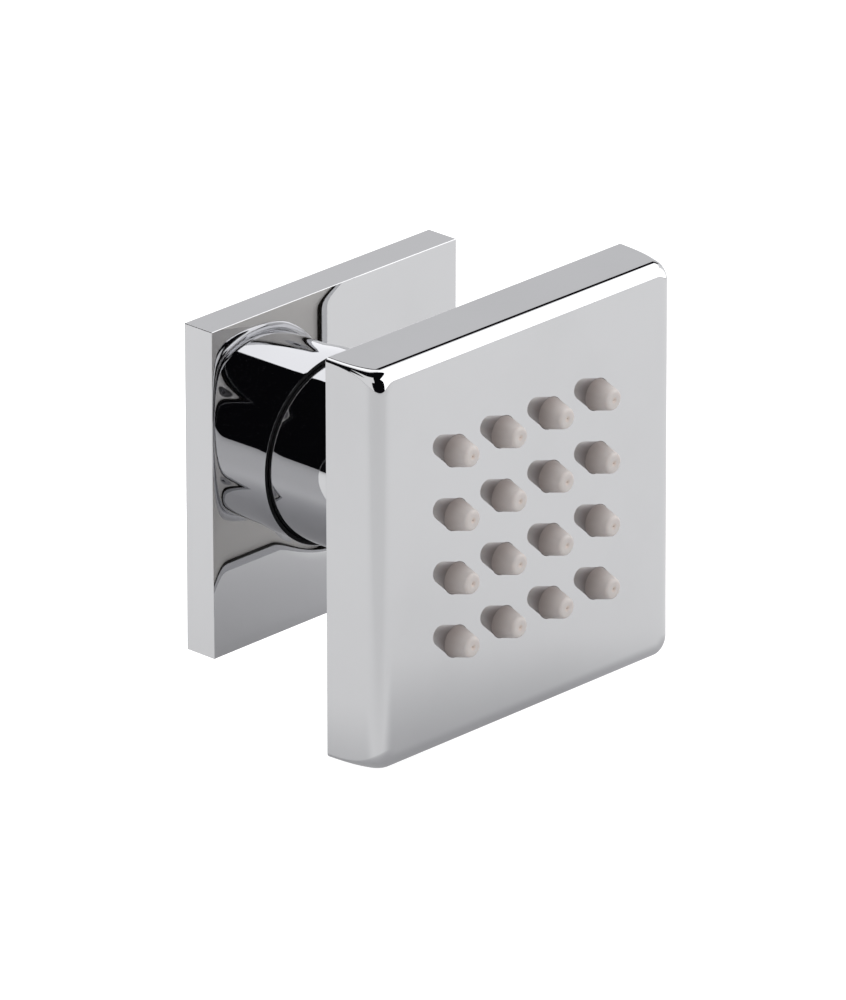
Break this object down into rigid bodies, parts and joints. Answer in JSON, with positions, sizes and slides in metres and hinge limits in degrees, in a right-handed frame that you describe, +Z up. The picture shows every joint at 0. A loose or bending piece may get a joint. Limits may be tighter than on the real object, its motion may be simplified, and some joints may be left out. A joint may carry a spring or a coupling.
{
  "type": "shower body jet",
  "caption": "Square chrome shower body jet: a tilting spray head with soft silicone nozzles on a round turning neck, with a square wall flange and a threaded inlet.",
  "frame": {"origin": "centre of the wall flange's back face, on the inlet thread's axis", "axes": "+Y into the wall along the inlet, the jet sprays towards -Y, +X to the right seen from the front, +Z up"},
  "size_m": [0.06, 0.0597, 0.06],
  "materials": {
    "polished_chrome": "mirror-polished chrome plate on brass",
    "pin_chrome": "polished chrome plate, end turned flush with the neck",
    "cover_plastic": "satin light grey moulded cover",
    "brass": "bare turned brass",
    "black_rubber": "smooth black rubber",
    "foam": "closed-cell foam",
    "stainless_steel": "plain stainless steel",
    "white_plastic": "moulded acetal",
    "regulator_plastic": "moulded acetal",
    "nozzle_silicone": "soft grey-beige silicone, slightly translucent"
  },
  "bodies": {
    "base": {"wall_flange": "polished_chrome", "wall_gasket": "foam", "flange_seal": "black_rubber", "inlet_nipple": "brass", "spigot_o_rings": "black_rubber", "retaining_ring": "stainless_steel", "inlet_filter": "stainless_steel", "flow_regulator": "regulator_plastic"},
    "neck": {"neck_sleeve": "polished_chrome", "seat_o_ring": "black_rubber", "ball_seat": "white_plastic", "front_bearing": "white_plastic", "bearing_snap_ring": "stainless_steel", "pivot_pins": "pin_chrome", "neck_band": "polished_chrome"},
    "head": {"ball_stem": "polished_chrome", "stem_o_ring": "black_rubber", "stem_nut": "brass", "back_plate": "cover_plastic", "face_shell": "polished_chrome", "nozzle_mat": "nozzle_silicone", "pressure_plate": "white_plastic", "chamber_gasket": "black_rubber", "cover_screws": "stainless_steel"}
  },
  "joints": [
    {"name": "neck_turn", "type": "hinge", "parent": "base", "child": "neck", "pos_m": [0, 0, 0], "axis": [0, 1, 0], "continuous": true},
    {"name": "head_tilt", "type": "hinge", "parent": "neck", "child": "head", "pos_m": [0, -0.01891, 0], "axis": [1, 0, 0], "range_deg": [-12, 12]}
  ]
}
